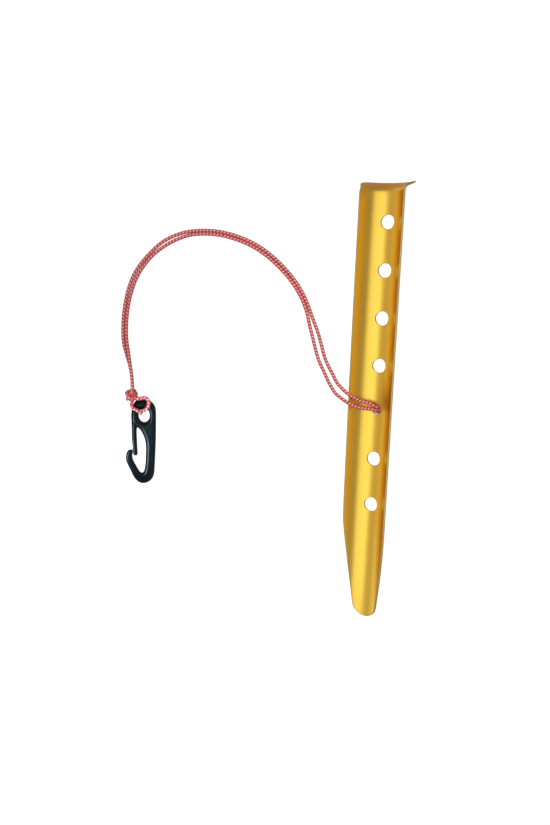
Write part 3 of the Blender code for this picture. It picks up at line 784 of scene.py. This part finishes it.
def inward_of(outline, hole):
    """The direction into the material at each point of an outline that runs clockwise, or round a hole."""
    ahead = unit(np.roll(outline, -1, axis=0) - np.roll(outline, 1, axis=0))
    area = np.sum(outline[:, 0] * np.roll(outline[:, 1], -1) - outline[:, 1] * np.roll(outline[:, 0], -1))
    turn = 1.0 if (area > 0) != hole else -1.0
    return np.stack([-ahead[:, 1], ahead[:, 0]], axis=1) * turn


def rounding_room(outline, inward, others):
    """How wide the rounding can be at each point: most of the radius of the largest circle that touches
    the outline there and holds no other point of any outline."""
    offset = others[None, :, :] - outline[:, None, :]
    reach = np.einsum("ijk,ik->ij", offset, inward)
    squared = np.sum(offset**2, axis=2)
    radius = np.where(reach > SMALLEST, squared / (2 * np.maximum(reach, SMALLEST)), 1.0)
    room = np.min(np.where(squared > (1.5 * OUTLINE_STEP) ** 2, radius, 1.0), axis=1)
    room = np.minimum(room * ROOM_SHARE, EDGE_ROUND)
    return np.minimum(evened(room, ROOM_WINDOW, "wrap"), room)


def body_half_thickness(y):
    """Half of the hook's thickness, the same all along it."""
    return np.full(len(y), HOOK_THICKNESS / 2)


def gate_half_thickness(y):
    """Half of the gate's thickness: as thick as the body where it springs from it, thinner from there on."""
    share = np.clip((-y - GATE_FULL_UNTIL) / GATE_THINS_OVER, 0.0, 1.0)
    return HOOK_THICKNESS / 2 - (HOOK_THICKNESS - GATE_THICKNESS) / 2 * share**2 * (3 - 2 * share)


def moulding(name, outlines, half_thickness, wall_half, material):
    """A moulding with full round edges. Its half thickness is a function of the place along it.

    Round each outline, a strip runs from the upper face over the rounding and the short wall to the lower
    face. The flat left inside the strips is filled on both faces.
    """
    everything = np.vstack([outline for outline, _ in outlines])
    turn = np.linspace(math.pi / 2, 0, ROUND_STEPS)
    points, faces, count, rings = [], [], 0, []
    for outline, hole in outlines:
        inward = inward_of(outline, hole)
        room = rounding_room(outline, inward, everything)
        inset = np.concatenate([[FLAT_BEGINS], 1 - np.cos(turn)])
        height = np.concatenate([[1.0], np.sin(turn)])
        inset = np.concatenate([inset, inset[::-1]])
        height = np.concatenate([height, -height[::-1]])
        flat = outline[None, :, :] + inward[None, :, :] * (inset[:, None] * room[None, :])[:, :, None]
        rise = half_thickness(outline[:, 1])[None, :] - wall_half
        level = np.sign(height)[:, None] * wall_half + height[:, None] * rise
        grid = np.concatenate([flat, level[:, :, None]], axis=2)
        rows, columns = grid.shape[:2]
        points.append(grid.reshape(-1, 3))
        faces += grid_faces(rows, columns, count, wrap=True).tolist()
        rings.append((count, count + (rows - 1) * columns, grid[0]))
        count += rows * columns
    fill = tessellate_polygon([[Vector((x, y, 0.0)) for x, y, _ in ring] for _, _, ring in rings])
    upper = np.concatenate([first + np.arange(len(ring)) for first, _, ring in rings])
    lower = np.concatenate([last + np.arange(len(ring)) for _, last, ring in rings])
    faces += [tuple(upper[list(corner)]) for corner in fill]
    faces += [tuple(lower[list(corner)][::-1]) for corner in fill]
    made = make_piece(name, hook_to_world(np.vstack(points)), faces, material)
    tidy_mesh(made, SMALLEST)
    return made


def make_hook(material):
    """The hook's body with its eye, and the springy gate arm that bends from the eye's left side."""
    turn = np.linspace(SEAT_START, SEAT_END, SEAT_POINTS)
    seat = np.array(GATE_ROOT) + SEAT_RADIUS * np.stack([np.cos(turn), np.sin(turn)], axis=1)
    body_outline = closed_outline(BODY_OUTSIDE + BODY_INSIDE + seat.tolist())
    around = np.linspace(0, 2 * math.pi, EYE_POINTS, endpoint=False)
    ellipse = np.stack([EYE_HALF_WIDTH * np.cos(around), EYE_HALF_HEIGHT * np.sin(around)], axis=1)
    outlines = [(body_outline, False), (np.array(EYE_CENTRE) + ellipse, True)]
    body = moulding("moulded_hook", outlines, body_half_thickness, BODY_WALL, material)
    dress(body, "black_nylon", "peg", "hook_body")
    outlines = [(closed_outline(GATE_TOP + GATE_OUTSIDE), False)]
    gate = moulding("gate_arm", outlines, gate_half_thickness, GATE_WALL, material)
    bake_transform(gate)
    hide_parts("hook_gate")
    return body, gate


# Materials.

def new_material(name):
    """A new material with its node tree and its shader."""
    material = bpy.data.materials.new(name)
    material.use_nodes = True
    tree = material.node_tree
    return material, tree, tree.nodes["Principled BSDF"]


def set_inputs(node, **values):
    """Sets a node's inputs to plain values. A name's underscores stand for spaces."""
    for name, value in values.items():
        node.inputs[name.replace("_", " ")].default_value = value


def add_math(tree, operation, first, second=None, third=None):
    """One Math node whose inputs are sockets or plain numbers."""
    node = tree.nodes.new("ShaderNodeMath")
    node.operation = operation
    for slot, value in zip(node.inputs, (first, second, third)):
        if isinstance(value, (int, float)):
            slot.default_value = value
        elif value is not None:
            tree.links.new(value, slot)
    return node.outputs[0]


def add_mix(tree, factor, first, second):
    """One mix of two colours, which are sockets or plain colours, by a factor that is a socket."""
    node = tree.nodes.new("ShaderNodeMix")
    node.data_type = "RGBA"
    tree.links.new(factor, node.inputs["Factor"])
    for name, value in (("A", first), ("B", second)):
        if isinstance(value, tuple):
            node.inputs[name].default_value = (*value, 1.0)
        else:
            tree.links.new(value, node.inputs[name])
    return node.outputs["Result"]


def add_choice(tree, chooser, off, on):
    """One value that follows the first input where the chooser is 0 and the second where it is 1."""
    difference = add_math(tree, "SUBTRACT", on, off)
    return add_math(tree, "MULTIPLY_ADD", difference, chooser, off)


def surface_grain():
    """The shared grain: noise in the object's own coordinates with a scale along each axis, put out as a mask
    from 0 to 1 and as a normal that its height bends."""
    group = bpy.data.node_groups.new("surface_grain", "ShaderNodeTree")
    group.interface.new_socket("Scale", in_out="INPUT", socket_type="NodeSocketVector")
    for name in ("Detail", "Strength", "Distance"):
        group.interface.new_socket(name, in_out="INPUT", socket_type="NodeSocketFloat")
    group.interface.new_socket("Mask", in_out="OUTPUT", socket_type="NodeSocketFloat")
    group.interface.new_socket("Normal", in_out="OUTPUT", socket_type="NodeSocketVector")
    nodes, links = group.nodes, group.links
    given = nodes.new("NodeGroupInput")
    result = nodes.new("NodeGroupOutput")
    place = nodes.new("ShaderNodeTexCoord")
    scaled = nodes.new("ShaderNodeVectorMath")
    scaled.operation = "MULTIPLY"
    links.new(place.outputs["Object"], scaled.inputs[0])
    links.new(given.outputs["Scale"], scaled.inputs[1])
    noise = nodes.new("ShaderNodeTexNoise")
    set_inputs(noise, Scale=1.0)
    links.new(scaled.outputs["Vector"], noise.inputs["Vector"])
    links.new(given.outputs["Detail"], noise.inputs["Detail"])
    bump = nodes.new("ShaderNodeBump")
    links.new(given.outputs["Strength"], bump.inputs["Strength"])
    links.new(given.outputs["Distance"], bump.inputs["Distance"])
    links.new(noise.outputs["Fac"], bump.inputs["Height"])
    links.new(noise.outputs["Fac"], result.inputs["Mask"])
    links.new(bump.outputs["Normal"], result.inputs["Normal"])
    return group


def add_grain(tree, grain, **values):
    """The shared grain in one material, with that material's own values."""
    node = tree.nodes.new("ShaderNodeGroup")
    node.node_tree = grain
    set_inputs(node, **values)
    return node.outputs["Mask"], node.outputs["Normal"]


def gold_material(grain):
    """Satin gold anodising: a fine drawn grain along the strip under a clear skin, a cut edge with a darker,
    greyer painted shade, and a duller flare into the lip with a browner painted shade."""
    material, tree, shader = new_material("gold_anodised")
    along_strip = (900.0, 25.0, 900.0)
    mask, normal = add_grain(tree, grain, Scale=along_strip, Detail=3.0, Strength=0.04, Distance=0.0001)
    tree.links.new(normal, shader.inputs["Normal"])
    cut = tree.nodes.new("ShaderNodeAttribute")
    cut.attribute_name = "cut_edge_shade"
    bend_shade = tree.nodes.new("ShaderNodeAttribute")
    bend_shade.attribute_name = "bent_lip_shade"
    face = add_mix(tree, mask, GOLD_LOW, GOLD_HIGH)
    # The flare into the lip gets a browner painted shade.
    face = add_mix(tree, bend_shade.outputs["Fac"], face, LIP_SHADE_BROWN)
    # The cut edge gets a darker, greyer painted shade.
    colour = add_mix(tree, cut.outputs["Fac"], face, CUT_EDGE_SHADE)
    tree.links.new(colour, shader.inputs["Base Color"])
    rough = add_math(tree, "MULTIPLY_ADD", mask, GRAIN_ROUGHNESS, FACE_ROUGHNESS)
    duller = add_math(tree, "MULTIPLY", bend_shade.outputs["Fac"], BENT_ROUGHNESS)
    tree.links.new(add_math(tree, "ADD", rough, duller), shader.inputs["Roughness"])
    set_inputs(shader, Metallic=1.0, Specular_Tint=GOLD_TINT)
    set_inputs(shader, Coat_Weight=0.25, Coat_Roughness=0.30, Coat_IOR=1.5)
    return material


def cord_material():
    """Braided yarn: the same carriers as the relief, over two and under two. In one of the two families
    every other carrier is pale, and each carrier is painted darker towards its edges and the gaps, as shade."""
    material, tree, shader = new_material("red_cord")
    chart = tree.nodes.new("ShaderNodeUVMap")
    chart.uv_map = "braid"
    split = tree.nodes.new("ShaderNodeSeparateXYZ")
    tree.links.new(chart.outputs["UV"], split.inputs["Vector"])
    round_phase = add_math(tree, "MULTIPLY", split.outputs["X"], float(CARRIERS))
    one_way = add_math(tree, "ADD", round_phase, split.outputs["Y"])
    other_way = add_math(tree, "SUBTRACT", round_phase, split.outputs["Y"])
    one_carrier = add_math(tree, "FLOOR", one_way)
    other_carrier = add_math(tree, "FLOOR", other_way)
    sum_of_both = add_math(tree, "ADD", one_carrier, other_carrier)
    step = add_math(tree, "FLOORED_MODULO", sum_of_both, 4.0)
    other_on_top = add_math(tree, "LESS_THAN", step, 1.5)
    one_part = add_math(tree, "FRACT", one_way)
    other_part = add_math(tree, "FRACT", other_way)
    across = add_choice(tree, other_on_top, one_part, other_part)
    run = add_choice(tree, other_on_top, other_part, one_part)
    run = add_math(tree, "ADD", run, add_math(tree, "FLOORED_MODULO", step, 2.0))
    crest = add_math(tree, "SINE", add_math(tree, "MULTIPLY", across, math.pi))
    rise = add_math(tree, "SINE", add_math(tree, "MULTIPLY", run, math.pi / 2))
    crown = add_math(tree, "SQRT", add_math(tree, "MULTIPLY", crest, rise))
    every_other = add_math(tree, "FLOORED_MODULO", other_carrier, 2.0)
    pale = add_math(tree, "MULTIPLY", every_other, other_on_top)
    pale = add_math(tree, "MULTIPLY", pale, add_math(tree, "POWER", crown, 0.6))
    # Each carrier darkens towards its edges and the gaps between carriers with a painted shade.
    red = add_mix(tree, crown, GAP_SHADE_RED, RED_YARN)
    colour = add_mix(tree, pale, red, PALE_YARN)
    tree.links.new(colour, shader.inputs["Base Color"])
    set_inputs(shader, Roughness=0.75, Sheen_Weight=0.2)
    return material


def melted_material(grain):
    """The cord's yarn melted to a dark, fairly smooth bead with spots of its red."""
    material, tree, shader = new_material("melted_cord_end")
    mask, _ = add_grain(tree, grain, Scale=(1500.0, 1500.0, 1500.0), Detail=2.0)
    tree.links.new(add_mix(tree, mask, MELTED_DARK, MELTED_RED), shader.inputs["Base Color"])
    set_inputs(shader, Roughness=0.35)
    return material


def nylon_material(grain):
    """Smooth black nylon, with a very fine unevenness in its skin."""
    material, tree, shader = new_material("black_nylon")
    every_way = (2600.0, 2600.0, 2600.0)
    mask, normal = add_grain(tree, grain, Scale=every_way, Detail=4.0, Strength=0.03, Distance=0.00005)
    tree.links.new(add_mix(tree, mask, NYLON_LOW, NYLON_HIGH), shader.inputs["Base Color"])
    tree.links.new(normal, shader.inputs["Normal"])
    set_inputs(shader, Roughness=0.25, Specular_IOR_Level=0.085)
    return material


# Floor, light and camera.

def make_floor():
    """A pale floor that the camera sees as white and that keeps the part's soft shadow."""
    material, tree, shader = new_material("floor")
    tree.nodes.remove(shader)
    rays = tree.nodes.new("ShaderNodeLightPath")
    seen = add_math(tree, "MAXIMUM", rays.outputs["Is Camera Ray"], rays.outputs["Is Glossy Ray"])
    seen = add_math(tree, "MAXIMUM", seen, rays.outputs["Is Transmission Ray"])
    paint = tree.nodes.new("ShaderNodeBsdfDiffuse")
    set_inputs(paint, Color=(FLOOR_GREY, FLOOR_GREY, FLOOR_GREY, 1.0))
    glow = tree.nodes.new("ShaderNodeEmission")
    tree.links.new(add_math(tree, "MULTIPLY", seen, FLOOR_GLOW), glow.inputs["Strength"])
    both = tree.nodes.new("ShaderNodeAddShader")
    tree.links.new(paint.outputs["BSDF"], both.inputs[0])
    tree.links.new(glow.outputs["Emission"], both.inputs[1])
    tree.links.new(both.outputs["Shader"], tree.nodes["Material Output"].inputs["Surface"])
    points = FLOOR_REACH * np.array([(-1, -1, 0), (1, -1, 0), (1, 1, 0), (-1, 1, 0)])
    make_piece("floor", points, [(0, 1, 2, 3)], material)


def add_lamp(name, place, aim, size, brightness, colour, spread):
    """A soft rectangular lamp, turned towards the point that it lights. Its power is the brightness of its
    surface times its area times pi."""
    data = bpy.data.lights.new(name, "AREA")
    data.shape = "RECTANGLE"
    data.size, data.size_y = size
    data.energy = brightness * size[0] * size[1] * math.pi
    data.color = colour
    data.spread = math.radians(spread)
    lamp = bpy.data.objects.new(name, data)
    lamp.visible_camera = False
    bpy.context.scene.collection.objects.link(lamp)
    lamp.location = place
    lamp.rotation_euler = (Vector(aim) - Vector(place)).to_track_quat("-Z", "Y").to_euler()


def light_the_part():
    """A warm grey room that is darker overhead, and the two lamps."""
    world = bpy.data.worlds.new("studio")
    world.use_nodes = True
    tree = world.node_tree
    direction = tree.nodes.new("ShaderNodeTexCoord")
    split = tree.nodes.new("ShaderNodeSeparateXYZ")
    tree.links.new(direction.outputs["Generated"], split.inputs["Vector"])
    above = add_math(tree, "MAXIMUM", split.outputs["Z"], 0.0)
    height = add_math(tree, "POWER", above, ZENITH_FALL)
    strength = add_math(tree, "MULTIPLY_ADD", height, ZENITH_LIGHT - HORIZON_LIGHT, HORIZON_LIGHT)
    background = tree.nodes["Background"]
    tree.links.new(strength, background.inputs["Strength"])
    set_inputs(background, Color=(*ROOM_COLOUR, 1.0))
    bpy.context.scene.world = world
    for name, values in LAMPS.items():
        add_lamp(name, *values)


def set_camera():
    """The camera at the photograph's place and angle."""
    data = bpy.data.cameras.new("camera")
    data.sensor_fit = "VERTICAL"
    data.sensor_height = FRAME_HEIGHT_MM
    data.lens = LENS_MM
    data.clip_start = NEAR_LIMIT
    camera = bpy.data.objects.new("camera", data)
    bpy.context.scene.collection.objects.link(camera)
    camera.location = CAMERA_PLACE
    camera.rotation_euler = CAMERA_TURN
    bpy.context.scene.camera = camera


def build_scene():
    """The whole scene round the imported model."""
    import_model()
    bpy.context.scene.view_settings.view_transform = "Standard"
    set_camera()
    grain = surface_grain()
    strands, pieces = make_cords(cord_material(), melted_material(grain))
    body, gate = make_hook(nylon_material(grain))
    make_blade(gold_material(grain))
    make_floor()
    light_the_part()


build_scene()
